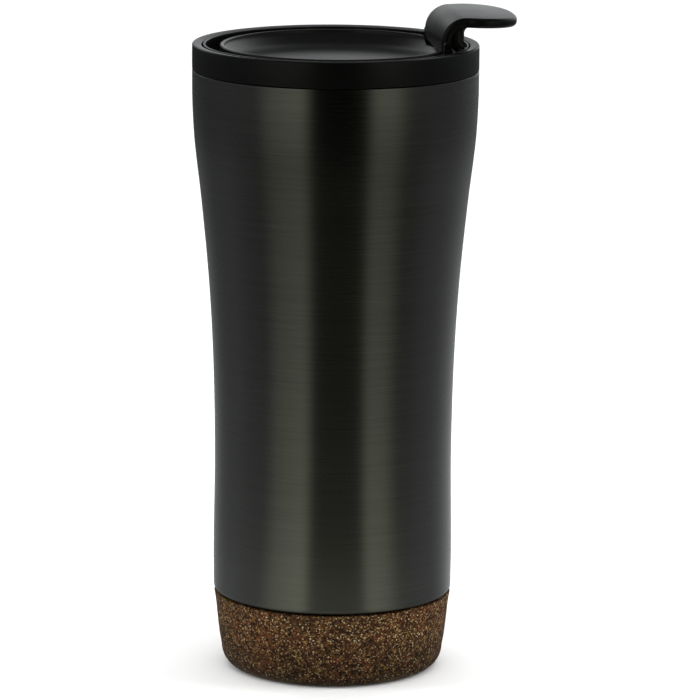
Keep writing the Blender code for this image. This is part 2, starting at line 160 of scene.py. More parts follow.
VENT_RADIUS = 0.75
STEM_OUT = 36.6
STEM_RADIUS = 0.8
STOPPER_OUT = (35.9, 38.6)
STOPPER_HALF_WIDTH = 6.0
STOPPER_CORNER = 1.2
PLUG_TOP = -1.0
PLUG_BOTTOM = -3.4
PLUG_HALF_WIDTH = 4.4

hinge = next(joint for joint in frame["joints"] if joint["name"] == "lever_hinge")
LEVER_TURN = math.atan2(hinge["pos_m"][1], hinge["pos_m"][0])
HINGE_RISE = hinge["pos_m"][2] / MM - RIM_HEIGHT
LID_FRAME = Matrix.Translation((0.0, 0.0, RIM_HEIGHT * MM)) @ Matrix.Rotation(LEVER_TURN, 4, "Z")
CUP_FRAME = Matrix.Identity(4)


# Outlines: lists of (distance out, height) or (x, y) in millimetres


def arc(centre, radius, start, end):
    """Points on a circle from the start angle to the end angle, in degrees, both ends included."""
    count = max(2, math.ceil(abs(end - start) / ARC_STEP))
    angles = [math.radians(start + (end - start) * i / count) for i in range(count + 1)]
    return [(centre[0] + radius * math.cos(a), centre[1] + radius * math.sin(a)) for a in angles]


def radius_at(stations, height):
    """Radius at a height, on the smooth curve through the stations."""
    last = len(stations) - 1

    def slope(i):
        low = stations[max(i - 1, 0)]
        high = stations[min(i + 1, last)]
        return (high[1] - low[1]) / (high[0] - low[0])

    i = 0
    while i < last - 1 and height > stations[i + 1][0]:
        i += 1
    (z0, r0), (z1, r1) = stations[i], stations[i + 1]
    span = z1 - z0
    u = (height - z0) / span
    return (
        r0 * (2 * u**3 - 3 * u**2 + 1)
        + slope(i) * span * (u**3 - 2 * u**2 + u)
        + r1 * (3 * u**2 - 2 * u**3)
        + slope(i + 1) * span * (u**3 - u**2)
    )


def wall(stations, top, bottom, facets, inset=0.0):
    """Points down a smooth wall, from its top height to its bottom height."""
    heights = [top + (bottom - top) * i / facets for i in range(facets + 1)]
    return [(radius_at(stations, z) - inset, z) for z in heights]


def rounded_rectangle(low, high, corner):
    """Rectangle with round corners, anticlockwise, with the same count of points for any size."""
    (x0, y0), (x1, y1) = low, high
    return (
        arc((x1 - corner, y0 + corner), corner, -90, 0)
        + arc((x1 - corner, y1 - corner), corner, 0, 90)
        + arc((x0 + corner, y1 - corner), corner, 90, 180)
        + arc((x0 + corner, y0 + corner), corner, 180, 270)
    )


# Pieces


def add_piece(name, mesh, place, finish):
    piece = bpy.data.objects.new(name, mesh)
    bpy.context.scene.collection.objects.link(piece)
    piece.matrix_world = place
    if finish:
        mesh.materials.append(finish)
    return piece


def turned(name, outline, place, finish=None, ring=True, segments=TURN_SEGMENTS):
    """Solid turned about Z. A ring's outline is closed; any other starts and ends on the axis."""
    count = len(outline)
    edges = [(i, i + 1) for i in range(count - 1)]
    if ring:
        edges.append((count - 1, 0))
    mesh = bpy.data.meshes.new(name)
    mesh.from_pydata([(r * MM, 0.0, z * MM) for r, z in outline], edges, [])
    piece = add_piece(name, mesh, place, finish)
    screw = piece.modifiers.new("Turn", "SCREW")
    screw.steps = segments
    screw.render_steps = segments
    screw.use_merge_vertices = True
    screw.merge_threshold = 0.000005
    return piece


def plate(name, outline, low, high, place, finish=None, upright=False):
    """Flat outline given thickness from low to high along Z, or along Y if it stands in XZ."""
    curve = bpy.data.curves.new(name, "CURVE")
    curve.dimensions = "2D"
    curve.fill_mode = "BOTH"
    curve.extrude = (high - low) / 2 * MM
    spline = curve.splines.new("POLY")
    spline.points.add(len(outline) - 1)
    for point, (x, y) in zip(spline.points, outline):
        point.co = (x * MM, y * MM, 0.0, 1.0)
    spline.use_cyclic_u = True
    guide = bpy.data.objects.new(name + "_guide", curve)
    bpy.context.scene.collection.objects.link(guide)
    graph = bpy.context.evaluated_depsgraph_get()
    mesh = bpy.data.meshes.new_from_object(guide.evaluated_get(graph))
    bpy.data.objects.remove(guide)
    mesh.transform(Matrix.Translation((0.0, 0.0, (low + high) / 2 * MM)))
    if upright:
        mesh.transform(Matrix.Rotation(math.radians(90), 4, "X"))
    close_up(mesh)
    return add_piece(name, mesh, place, finish)


def loft(name, sections, place, finish=None):
    """Skin over rings of points in metres, all with the same count, with a cap at both ends."""
    mesh = bpy.data.meshes.new(name)
    shape = bmesh.new()
    rings = [[shape.verts.new(point) for point in section] for section in sections]
    count = len(rings[0])
    for first, second in zip(rings, rings[1:]):
        for i in range(count):
            j = (i + 1) % count
            shape.faces.new((first[i], first[j], second[j], second[i]))
    shape.faces.new(rings[0])
    shape.faces.new(rings[-1])
    bmesh.ops.recalc_face_normals(shape, faces=shape.faces)
    shape.to_mesh(mesh)
    shape.free()
    return add_piece(name, mesh, place, finish)


def rod(name, radius, start, end, place, finish=None, sides=48):
    start = Vector(start) * MM
    end = Vector(end) * MM
    mesh = bpy.data.meshes.new(name)
    shape = bmesh.new()
    bmesh.ops.create_cone(
        shape,
        cap_ends=True,
        segments=sides,
        radius1=radius * MM,
        radius2=radius * MM,
        depth=(end - start).length,
    )
    shape.to_mesh(mesh)
    shape.free()
    turn = (end - start).to_track_quat("Z", "Y").to_matrix().to_4x4()
    mesh.transform(Matrix.Translation((start + end) / 2) @ turn)
    return add_piece(name, mesh, place, finish)


def close_up(mesh):
    shape = bmesh.new()
    shape.from_mesh(mesh)
    bmesh.ops.remove_doubles(shape, verts=shape.verts, dist=0.000001)
    bmesh.ops.recalc_face_normals(shape, faces=shape.faces)
    shape.to_mesh(mesh)
    shape.free()


def combine(target, other, operation):
    """Booleans another object into the target, and removes the other object."""
    boolean = target.modifiers.new(other.name, "BOOLEAN")
    boolean.operation = operation
    boolean.object = other
    boolean.solver = "EXACT"
    settle(target)
    bpy.data.objects.remove(other)


def settle(piece):
    """Turns the piece's modifiers into its mesh."""
    bpy.context.view_layer.update()
    graph = bpy.context.evaluated_depsgraph_get()
    mesh = bpy.data.meshes.new_from_object(piece.evaluated_get(graph))
    piece.modifiers.clear()
    piece.data = mesh
    return piece


def smooth(piece, sharp_angle=32.0):
    """Smooth shading, with a hard edge only where two faces meet at more than the angle."""
    settle(piece)
    piece.data.shade_smooth()
    piece.data.set_sharp_from_angle(angle=math.radians(sharp_angle))
    return piece


def seat(piece, body, slot, *nodes):
    """Gives a finished piece to its body, in place of the CAD nodes that it stands for.

    The piece's turn goes into its mesh, so that its box lies along the axes.
    """
    origin = Matrix.Translation(piece.matrix_world.translation)
    piece.data.transform(origin.inverted() @ piece.matrix_world)
    piece.matrix_world = origin
    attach(piece, body)
    if nodes:
        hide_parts(*nodes)
    return piece


# Materials


class Finish:
    """A procedural material on the piece's own coordinates. Scales are counts per metre."""

    def __init__(self, name):
        self.material = bpy.data.materials.new(name)
        self.material.use_nodes = True
        self.tree = self.material.node_tree
        self.shader = self.tree.nodes["Principled BSDF"]
        self.coords = self.add("ShaderNodeTexCoord").outputs["Object"]

    def add(self, kind, **settings):
        node = self.tree.nodes.new(kind)
        for key, value in settings.items():
            setattr(node, key, value)
        return node

    def link(self, source, target):
        self.tree.links.new(source, target)

    def stretched(self, x, y, z):
        """The coordinates multiplied along each axis, for grain that runs one way."""
        mapping = self.add("ShaderNodeMapping")
        mapping.inputs["Scale"].default_value = (x, y, z)
        self.link(self.coords, mapping.inputs["Vector"])
        return mapping.outputs["Vector"]

    def noise(self, scale, detail=2.0, roughness=0.5, vector=None):
        node = self.add("ShaderNodeTexNoise")
        node.inputs["Scale"].default_value = scale
        node.inputs["Detail"].default_value = detail
        node.inputs["Roughness"].default_value = roughness
        self.link(vector or self.coords, node.inputs["Vector"])
        return node.outputs["Fac"]

    def cells(self, scale, vector=None):
        node = self.add("ShaderNodeTexVoronoi")
        node.inputs["Scale"].default_value = scale
        self.link(vector or self.coords, node.inputs["Vector"])
        return node

    def ramp(self, fac, stops):
        """Colour ramp from (position, colour) stops; a plain number is a grey."""
        node = self.add("ShaderNodeValToRGB")
        elements = node.color_ramp.elements
        while len(elements) < len(stops):
            elements.new(0.5)
        for element, (position, colour) in zip(elements, stops):
            element.position = position
            shade = (colour,) * 3 if isinstance(colour, float) else colour
            element.color = (*shade, 1.0)
        self.link(fac, node.inputs["Fac"])
        return node.outputs["Color"]

    def fit(self, value, low, high):
        """Maps 0 to 1 onto low to high."""
        node = self.add("ShaderNodeMapRange")
        node.inputs["To Min"].default_value = low
        node.inputs["To Max"].default_value = high
        self.link(value, node.inputs["Value"])
        return node.outputs["Result"]

    def calculate(self, operation, first, second):
        node = self.add("ShaderNodeMath", operation=operation)
        for socket, value in zip(node.inputs, (first, second)):
            if isinstance(value, (int, float)):
                socket.default_value = value
            else:
                self.link(value, socket)
        return node.outputs["Value"]

    def mix(self, fac, first, second, blend="MIX"):
        node = self.add("ShaderNodeMix", data_type="RGBA", blend_type=blend)
        sockets = [node.inputs[i] for i in (0, 6, 7)]
        for socket, value in zip(sockets, (fac, first, second)):
            if isinstance(value, (int, float)):
                socket.default_value = value
            elif isinstance(value, tuple):
                socket.default_value = (*value, 1.0)
            else:
                self.link(value, socket)
        return node.outputs[2]

    def bump(self, height, strength, distance):
        node = self.add("ShaderNodeBump")
        node.inputs["Strength"].default_value = strength
        node.inputs["Distance"].default_value = distance
        self.link(height, node.inputs["Height"])
        self.link(node.outputs["Normal"], self.shader.inputs["Normal"])

    def set(self, **values):
        for key, value in values.items():
            socket = self.shader.inputs[key.replace("_", " ")]
            if isinstance(value, tuple):
                socket.default_value = (*value, 1.0)
            elif isinstance(value, (int, float)):
                socket.default_value = value
            else:
                self.link(value, socket)


def brushed_steel(name, dark, light, roughness, anisotropy):
    """Steel brushed round its axis: fine level lines, so that highlights stretch up and down."""
    finish = Finish(name)
    fine = finish.noise(1.0, 3.0, 0.6, finish.stretched(45.0, 45.0, 5200.0))
    coarse = finish.noise(1.0, 2.0, 0.5, finish.stretched(25.0, 25.0, 1500.0))
    cloud = finish.noise(28.0, 2.0, 0.5)
    fine_share = finish.calculate("MULTIPLY", fine, 0.6)
    lines = finish.calculate("ADD", fine_share, finish.calculate("MULTIPLY", coarse, 0.4))
    tone = finish.mix(finish.fit(lines, -0.2, 1.2), dark, light)
    tone = finish.mix(finish.fit(cloud, -0.3, 1.1), tone, finish.mix(0.5, tone, dark))
    rough = finish.fit(lines, roughness - 0.04, roughness + 0.04)
    rough = finish.calculate("ADD", rough, finish.fit(cloud, -0.02, 0.02))
    finish.set(Base_Color=tone, Metallic=1.0, Roughness=rough, Anisotropic=anisotropy)
    finish.set(Anisotropic_Rotation=0.25)
    tangent = finish.add("ShaderNodeTangent", direction_type="RADIAL", axis="Z")
    finish.link(tangent.outputs["Tangent"], finish.shader.inputs["Tangent"])
    finish.bump(lines, 0.08, 0.00004)
    return finish.material


def moulded_plastic(name, colour, roughness, shine=0.1, grain=2600.0, strength=0.12):
    """Matt moulded plastic with a fine spark-eroded grain and faint rubbed patches."""
    finish = Finish(name)
    pits = finish.noise(grain, 2.0, 0.6)
    patches = finish.noise(60.0, 3.0, 0.55)
    lighter = tuple(min(1.0, c * 1.5 + 0.0006) for c in colour)
    tone = finish.mix(finish.fit(pits, -0.2, 1.2), colour, lighter)
    rough = finish.fit(patches, roughness - 0.05, roughness + 0.05)
    rough = finish.calculate("ADD", rough, finish.fit(pits, -0.03, 0.03))
    finish.set(Base_Color=tone, Roughness=rough)
    finish.shader.inputs["Specular IOR Level"].default_value = shine
    finish.bump(pits, strength, 0.00006)
    return finish.material


def pressed_cork(name):
    """Dark pressed cork: brown granules with dark gaps, golden and rust ones, and fine pale flecks.

    A fine noise shifts the coordinates, which makes the granules ragged.
    """
    finish = Finish(name)
    raggedness = 0.9 * MM
    shift = finish.add("ShaderNodeVectorMath", operation="MULTIPLY_ADD")
    warp = finish.add("ShaderNodeTexNoise")
    warp.inputs["Scale"].default_value = 1700.0
    warp.inputs["Detail"].default_value = 2.0
    finish.link(finish.coords, warp.inputs["Vector"])
    finish.link(warp.outputs["Color"], shift.inputs[0])
    shift.inputs[1].default_value = (raggedness, raggedness, raggedness)
    finish.link(finish.coords, shift.inputs[2])
    ragged = shift.outputs["Vector"]

    granules = finish.cells(1650.0, vector=ragged)
    pick = finish.add("ShaderNodeSeparateColor")
    finish.link(granules.outputs["Color"], pick.inputs["Color"])
    tone = finish.ramp(
        pick.outputs["Red"],
        (
            (0.0, (0.009, 0.004, 0.0015)),
            (0.35, (0.030, 0.0125, 0.004)),
            (0.62, (0.062, 0.027, 0.008)),
            (0.80, (0.100, 0.049, 0.014)),
            (0.93, (0.16, 0.095, 0.030)),
            (1.0, (0.25, 0.165, 0.062)),
        ),
    )

    rusty_place = finish.ramp(finish.noise(110.0, 3.0, 0.6), ((0.40, 0.1), (0.60, 0.95)))
    rusty_granule = finish.ramp(pick.outputs["Green"], ((0.45, 0.0), (0.75, 1.0)))
    rust = finish.calculate("MULTIPLY", rusty_place, rusty_granule)
    tone = finish.mix(rust, tone, finish.mix(0.65, tone, (0.15, 0.038, 0.012)))

    gaps = finish.ramp(granules.outputs["Distance"], ((0.35, 1.0), (0.75, 0.35)))
    tone = finish.mix(1.0, tone, gaps, blend="MULTIPLY")

    flecks = finish.cells(2150.0, vector=ragged)
    fleck_pick = finish.add("ShaderNodeSeparateColor")
    finish.link(flecks.outputs["Color"], fleck_pick.inputs["Color"])
    chosen = finish.ramp(fleck_pick.outputs["Red"], ((0.80, 0.0), (0.90, 1.0)))
    middle = finish.ramp(flecks.outputs["Distance"], ((0.15, 1.0), (0.6, 0.0)))
    fleck_mask = finish.calculate("MULTIPLY", chosen, middle)
    golden = (0.40, 0.26, 0.095)
    cream = (0.62, 0.50, 0.28)
    pale = finish.ramp(fleck_pick.outputs["Blue"], ((0.2, golden), (0.8, cream)))
    tone = finish.mix(fleck_mask, tone, pale)

    # Painted shade: the cork's colour is darkened towards its foot, where it stands in shade near
    # the floor.
    split = finish.add("ShaderNodeSeparateXYZ")
    finish.link(finish.coords, split.inputs["Vector"])
    rise = finish.calculate("DIVIDE", split.outputs["Z"], CORK_TOP * MM)
    foot_shade = finish.ramp(rise, ((0.0, 0.35), (0.3, 0.7), (0.65, 1.0)))
    tone = finish.mix(1.0, tone, foot_shade, blend="MULTIPLY")

    finish.shader.inputs["Specular IOR Level"].default_value = 0.12
    finish.set(Base_Color=tone, Roughness=finish.fit(granules.outputs["Distance"], 0.62, 0.85))
    lumps = finish.noise(1600.0, 3.0, 0.6)
    relief = finish.calculate("SUBTRACT", lumps, granules.outputs["Distance"])
    finish.bump(relief, 0.5, 0.00014)
    return finish.material


def soft_foam(name, colour):
    """Pale foam of fine open pores."""
    finish = Finish(name)
    pores = finish.cells(1600.0)
    darker = tuple(c * 0.7 for c in colour)
    tone = finish.mix(finish.fit(pores.outputs["Distance"], 0.0, 0.6), colour, darker)
    finish.set(Base_Color=tone, Roughness=0.85)
    finish.bump(pores.outputs["Distance"], 0.4, 0.0001)
    return finish.material


# Cup


def make_outer_shell(finish):
    shoulder = COLLAR_BOTTOM - GAP
    corner = 0.15
    edge = 1.5
    boss_top = CORK_TOP + GAP + 0.1
    wall_foot = boss_top + edge
    outside = (
        [(NECK_RADIUS, NECK_TOP), (NECK_RADIUS, shoulder + 0.4)]
        + [(NECK_RADIUS + 0.4, shoulder)]
        + arc((radius_at(WALL_STATIONS, shoulder) - corner, shoulder - corner), corner, 90, 0)
        + wall(WALL_STATIONS, shoulder - 0.6, wall_foot + 0.3, 90)
        + arc((radius_at(WALL_STATIONS, wall_foot) - edge, wall_foot), edge, 0, -90)
        + [(BOSS_RADIUS, boss_top), (BOSS_RADIUS, SHELL_BOTTOM)]
    )
    inside = (
        [(BOSS_RADIUS - STEEL, SHELL_BOTTOM), (BOSS_RADIUS - STEEL, boss_top + STEEL)]
        + [(radius_at(WALL_STATIONS, wall_foot) - edge, boss_top + STEEL)]
        + wall(WALL_STATIONS, wall_foot + 0.5, shoulder - STEEL, 30, inset=STEEL)
        + [(NECK_RADIUS - 0.5, shoulder - STEEL), (NECK_RADIUS - 0.5, NECK_TOP)]
    )
    shell = smooth(turned("steel_body", outside + inside, CUP_FRAME, finish))
    return seat(shell, "cup", "dark_brushed_steel", "outer_shell")


def make_inner_cup(finish):
    sheet = 0.5
    lip_top = NECK_TOP + GAP + sheet
    corner = 9.0
    side = radius_at(INNER_STATIONS, CUP_FLOOR + corner + 2.5)
    turn_height = CUP_FLOOR + corner
    outline = (
        [(0.0, CUP_FLOOR - sheet)]
        + arc((side - corner, turn_height), corner + sheet, -90, 0)
        + wall(INNER_STATIONS, turn_height + 2.5, LEDGE_HEIGHT - 1.0, 40, inset=-sheet)
        + [(MOUTH_RADIUS + sheet, LEDGE_HEIGHT - sheet), (MOUTH_RADIUS + sheet, lip_top - sheet)]
        + [(NECK_RADIUS, lip_top - sheet), (NECK_RADIUS, lip_top)]
        + arc((MOUTH_RADIUS + 0.3, lip_top - 0.3), 0.3, 90, 180)
        + [(MOUTH_RADIUS, LEDGE_HEIGHT + 0.3), (MOUTH_RADIUS - 0.3, LEDGE_HEIGHT)]
        + [(INNER_STATIONS[-1][1] + 0.2, LEDGE_HEIGHT)]
        + wall(INNER_STATIONS, LEDGE_HEIGHT - 0.6, turn_height + 2.5, 60)
        + arc((side - corner, turn_height), corner, 0, -90)
        + [(0.0, CUP_FLOOR)]
    )
    outline.reverse()
    cup = smooth(turned("steel_liner", outline, CUP_FRAME, finish, ring=False))
    return seat(cup, "cup", "bare_steel", "inner_cup")


def make_collar(finish):
    """Collar with a top face that falls a little from its outer edge to its inner one."""
    top = RIM_HEIGHT
    bottom = COLLAR_BOTTOM
    bore = RIM_RADIUS - 2.9
    web_underside = top - 1.7
    skirt_bore = NECK_RADIUS + GAP
    shoulder = 0.6
    foot_round = 0.25
    mouth_round = 0.5
    fall = 0.3
    outline = (
        arc((RIM_RADIUS - shoulder, top - shoulder), shoulder, 90, 0)
        + arc((RIM_RADIUS - foot_round, bottom + foot_round), foot_round, 0, -90)
        + [(skirt_bore, bottom), (skirt_bore, web_underside), (bore, web_underside)]
        + arc((bore + mouth_round, top - fall - mouth_round), mouth_round, 180, 98)
    )
    collar = smooth(turned("mouth_collar", outline, CUP_FRAME, finish))
    return seat(collar, "cup", "black_plastic", "collar")


def make_cork_base(finish):
    side_foot = CORK_STATIONS[0][0]
    reach = radius_at(CORK_STATIONS, side_foot) - FOOT_FLAT_RADIUS
    bore = BOSS_RADIUS + GAP
    socket_floor = SHELL_BOTTOM - 1.2
    top_round = 0.35
    side = wall(CORK_STATIONS, CORK_TOP - top_round, side_foot, 24)
    quarter = arc((0.0, 0.0), 1.0, 0, -90)[1:]
    outline = (
        [(0.0, socket_floor), (bore, socket_floor), (bore, CORK_TOP)]
        + arc((side[0][0] - top_round, CORK_TOP - top_round), top_round, 90, 0)
        + side[1:]
        + [(FOOT_FLAT_RADIUS + reach * x, side_foot + side_foot * y) for x, y in quarter]
        + [(0.0, 0.0)]
    )
    base = smooth(turned("cork_foot", outline, CUP_FRAME, finish, ring=False))
    return seat(base, "cup", "cork", "cork_base")


# Lid


def make_lid_housing(finish):
    edge = 0.3
    skirt_round = 0.6
    outline = (
        [(0.0, MOAT_FLOOR), (PLATFORM_INNER, MOAT_FLOOR)]
        + [(PLATFORM_INNER, PLATFORM_TOP), (RING_INNER, PLATFORM_TOP)]
        + arc((RING_INNER + edge, RING_TOP - edge), edge, 180, 90)
        + arc((RING_OUTER - edge, RING_TOP - edge), edge, 90, 0)
        + [(RING_OUTER, RING_BOTTOM), (SKIRT_OUTER, RING_BOTTOM)]
        + [(SKIRT_OUTER, GROOVE_TOP), (GROOVE_RADIUS, GROOVE_TOP)]
        + [(GROOVE_RADIUS, GROOVE_BOTTOM), (SKIRT_OUTER, GROOVE_BOTTOM)]
        + arc((SKIRT_OUTER - skirt_round, SKIRT_BOTTOM + skirt_round), skirt_round, 0, -90)
        + [(SKIRT_INNER, SKIRT_BOTTOM), (SKIRT_INNER, DECK_UNDERSIDE), (0.0, DECK_UNDERSIDE)]
    )
    housing = settle(turned("lid_body", outline, LID_FRAME, finish, ring=False))
    combine(housing, make_groove_cutter(), "DIFFERENCE")
    combine(housing, make_slot_cutter(), "DIFFERENCE")
    vent_top = (-(RING_INNER + DISH_OUTER) / 2, 0.0, MOAT_FLOOR + 1.0)
    vent_bottom = (1.5 - SKIRT_INNER, 0.0, DECK_UNDERSIDE - 1.5)
    combine(housing, rod("vent_hole", VENT_RADIUS, vent_top, vent_bottom, LID_FRAME), "DIFFERENCE")
    lug_outline = [(HINGE_OUT + x, PLATFORM_TOP - 0.5) for x in (-LUG_RADIUS, LUG_RADIUS)]
    lug_outline += arc((HINGE_OUT, HINGE_RISE), LUG_RADIUS, 0, 180)
    for low, high in ((LUG_INNER_SIDE, LUG_OUTER_SIDE), (-LUG_OUTER_SIDE, -LUG_INNER_SIDE)):
        combine(housing, plate("lug", lug_outline, low, high, LID_FRAME, upright=True), "UNION")
    ends = [(HINGE_OUT, y, HINGE_RISE) for y in (-LUG_OUTER_SIDE - 1.0, LUG_OUTER_SIDE + 1.0)]
    combine(housing, rod("lug_hole", PIN_BORE, *ends, LID_FRAME), "DIFFERENCE")
    smooth(housing)
    return seat(housing, "lid", "black_plastic", "lid_housing")


def make_groove_cutter():
    """Ring-shaped groove beside the dish, left out of the sector where the platform stands."""
    overlap = 0.02
    high = 0.5
    outline = [
        (RING_INNER - overlap, high),
        (RING_INNER - overlap, MOAT_FLOOR),
        (PLATFORM_INNER - 0.5, MOAT_FLOOR),
        (PLATFORM_INNER - 0.5, high),
    ]
    groove = settle(turned("moat_cutter", outline, LID_FRAME))
    reach = 60.0
    half = math.radians(PLATFORM_HALF_ANGLE)
    x = reach * math.cos(half)
    y = reach * math.sin(half)
    sector = [(0.0, 0.0), (x, -y), (reach, -y), (reach, y), (x, y)]
    wedge = plate("platform_sector", sector, MOAT_FLOOR - 1.0, high + 1.0, LID_FRAME)
    combine(groove, wedge, "DIFFERENCE")
    return groove


def make_slot_cutter():
    """Slot down through the platform that turns inwards under the deck."""
    near, far = SLOT_OUT
    inward = SKIRT_INNER - 3.0
    turn_top = -6.6
    turn_bottom = -8.6
    side_view = [
        (near, 1.0),
        (near, turn_top),
        (inward, turn_top),
        (inward, turn_bottom),
        (far, turn_bottom),
        (far, 1.0),
    ]
    return plate("sip_slot", side_view, -SLOT_HALF_WIDTH, SLOT_HALF_WIDTH, LID_FRAME, upright=True)


def make_lid_gasket(finish):
    body = GROOVE_RADIUS + GAP
    low = GROOVE_BOTTOM + GAP
    high = GROOVE_TOP - GAP
    root = 38.2
    root_half = 0.45
    tip = 38.9
    tip_half = 0.22
    fins = []
    for centre in (high - 0.6, low + 0.6):
        fins += [(root, centre + root_half)]
        fins += arc((tip - tip_half, centre), tip_half, 80, -80)
        fins += [(root, centre - root_half)]
    outline = [(body, high), (root, high)] + fins + [(root, low), (body, low)]
    gasket = smooth(turned("lid_seal_ring", outline, LID_FRAME, finish))
    return seat(gasket, "lid", "black_silicone", "lid_gasket")


def make_lid_dish(finish):
    """Shallow dish with a flat floor, a gentle slope and a round lip, cut away at the lever."""
    side_wall = 1.1
    wall_foot = 31.8
    lip_half = (DISH_OUTER - DISH_SLOPE_TOP) / 2
    lip_middle = DISH_SLOPE_TOP + lip_half
    slope_head = (DISH_SLOPE_TOP - 1.2, DISH_LIP_TOP - 1.8)
    slope_foot = (DISH_FLOOR_RADIUS + 3.0, DISH_FLOOR + 1.2)
    floor_edge = (DISH_FLOOR_RADIUS - 3.0, DISH_FLOOR)
    floor_curve = quadratic(floor_edge, (DISH_FLOOR_RADIUS + 0.5, DISH_FLOOR), slope_foot, 10)
    slope_top = (DISH_SLOPE_TOP, DISH_LIP_TOP - lip_half)
    head_curve = quadratic(slope_head, (DISH_SLOPE_TOP, DISH_LIP_TOP - 1.2), slope_top, 6)
    outline = (
        [(0.0, DISH_FLOOR), (15.0, DISH_FLOOR)]
        + floor_curve
        + head_curve[:-1]
        + arc((lip_middle, DISH_LIP_TOP - lip_half), lip_half, 180, 0)
        + [(DISH_OUTER, DISH_UNDERSIDE), (DISH_OUTER - side_wall, DISH_UNDERSIDE)]
        + [(DISH_OUTER - side_wall, DISH_LIP_TOP - 3.6), (wall_foot, DISH_UNDERSIDE)]
        + [(0.0, DISH_UNDERSIDE)]
    )
    dish = settle(turned("lid_top_dish", outline, LID_FRAME, finish, ring=False))
    room = LUG_OUTER_SIDE
    edge = HINGE_OUT - LEVER_THICKNESS / 2 - GAP
    corners = [(edge, -room), (40.0, -room), (40.0, room), (edge, room)]
    combine(dish, plate("lever_notch", corners, PLATFORM_TOP - 0.2, 1.0, LID_FRAME), "DIFFERENCE")
    smooth(dish)
    return seat(dish, "lid", "black_plastic", "lid_dish")


def quadratic(start, pull, end, count):
    """Points on a curve from start to end that leans towards the pull point."""
    points = []
    for i in range(count + 1):
        u = i / count
        weights = ((1 - u) ** 2, 2 * u * (1 - u), u**2)
        pairs = list(zip(weights, (start, pull, end)))
        points.append(tuple(sum(w * p[k] for w, p in pairs) for k in (0, 1)))
    return points


def make_hinge_pin(finish):
    chamfer = 0.15
    length = PIN_HALF_LENGTH
    outline = [
        (0.0, length),
        (PIN_RADIUS - chamfer, length),
        (PIN_RADIUS, length - chamfer),
        (PIN_RADIUS, chamfer - length),
        (PIN_RADIUS - chamfer, -length),
        (0.0, -length),
    ]
    place = LID_FRAME @ Matrix.Translation(Vector((HINGE_OUT, 0.0, HINGE_RISE)) * MM)
    place = place @ Matrix.Rotation(math.radians(90), 4, "X")
    pin = smooth(turned("lever_hinge_pin", outline, place, finish, ring=False, segments=48))
    return seat(pin, "lid", "black_plastic", "hinge_pin")


# Lever


def tab_top(out):
    return BEND_RISE + BEND_RADIUS - TAB_DROOP * max(out - BEND_OUT, 0.0) ** 2


def edge_inset(off_middle):
    """How far the round edge stands in from the outline, at a distance off the middle plane."""
    past = max(abs(off_middle) - LEVER_THICKNESS / 2 + EDGE_ROUND, 0.0)
    return EDGE_ROUND - math.sqrt(EDGE_ROUND**2 - past**2)


def lever_half_width(out, inset):
    """Half the lever's width: straight sides, then a tab that flares a little to a blunt end."""
    if out <= TAB_START:
        return LEVER_HALF_WIDTH - inset
    share = min((out - TAB_START) / (TIP_OUT - inset - TAB_START), 1.0)
    flared = LEVER_HALF_WIDTH + TAB_FLARE * (1 - (1 - share) ** 4) - inset
    return flared * (1.0 - share**TAB_SQUARENESS) ** (1 / TAB_SQUARENESS)


def ribbon_stations():
    """(out, rise, tilt in degrees, half thickness) along the middle of the J-shaped strip."""
    half = LEVER_THICKNESS / 2
    middle_radius = BEND_RADIUS - half
    stations = []
    for angle in range(-86, 1, 8):
        turn = math.radians(angle)
        stations.append((HINGE_OUT, FOOT_RISE + half * math.sin(turn), 90.0, half * math.cos(turn)))
    straight = 4
    for i in range(1, straight):
        stations.append((HINGE_OUT, FOOT_RISE + (BEND_RISE - FOOT_RISE) * i / straight, 90.0, half))
    for angle in range(180, 89, -5):
        turn = math.radians(angle)
        out = BEND_OUT + middle_radius * math.cos(turn)
        stations.append((out, BEND_RISE + middle_radius * math.sin(turn), angle - 90.0, half))
    count = 48
    for i in range(1, count):
        out = BEND_OUT + (TIP_OUT - BEND_OUT) * (1 - (1 - i / count) ** 2)
        nose = min((TIP_OUT - out) / EDGE_ROUND, 1.0)
        thin = half - EDGE_ROUND * (1 - math.sqrt(1 - (1 - nose) ** 2))
        slope = math.degrees(math.atan(-2 * TAB_DROOP * (out - BEND_OUT)))
        stations.append((out, tab_top(out) - half, slope, thin))
    return stations


def strip_ring(out, half):
    """Cross-section of the strip as (sideways, off its middle plane), with round edges."""
    layers = [half * math.sin(math.radians(angle)) for angle in range(-90, 91, 10)]
    side = [(lever_half_width(out, edge_inset(layer)), layer) for layer in layers]
    edge_step = 0.02
    side[0] = (side[0][0] + edge_step, side[0][1])
    side[-1] = (side[-1][0] + edge_step, side[-1][1])
    return side + [(-sideways, layer) for sideways, layer in reversed(side)]


def make_lever(finish):
    sections = []
    for out, rise, tilt, half in ribbon_stations():
        up = Vector((-math.sin(math.radians(tilt)), 0.0, math.cos(math.radians(tilt))))
        middle = Vector((out, 0.0, rise))
        ring = strip_ring(out, half)
        sections.append([(middle + Vector((0.0, y, 0.0)) + up * off) * MM for y, off in ring])
    lever = loft("lever_body", sections, LID_FRAME, finish)
    combine(lever, make_lever_block(), "UNION")
    ends = [(HINGE_OUT, y, HINGE_RISE) for y in (-LEVER_HALF_WIDTH - 2.0, LEVER_HALF_WIDTH + 2.0)]
    combine(lever, rod("pin_bore", PIN_BORE, *ends, LID_FRAME), "DIFFERENCE")
    stem_ends = [(STEM_OUT, 0.0, -1.0), (STEM_OUT, 0.0, 2.5)]
    combine(lever, rod("stem_hole", STEM_RADIUS + GAP, *stem_ends, LID_FRAME), "DIFFERENCE")
    smooth(lever, sharp_angle=38.0)
    return seat(lever, "lever", "black_plastic", "flip_lever")


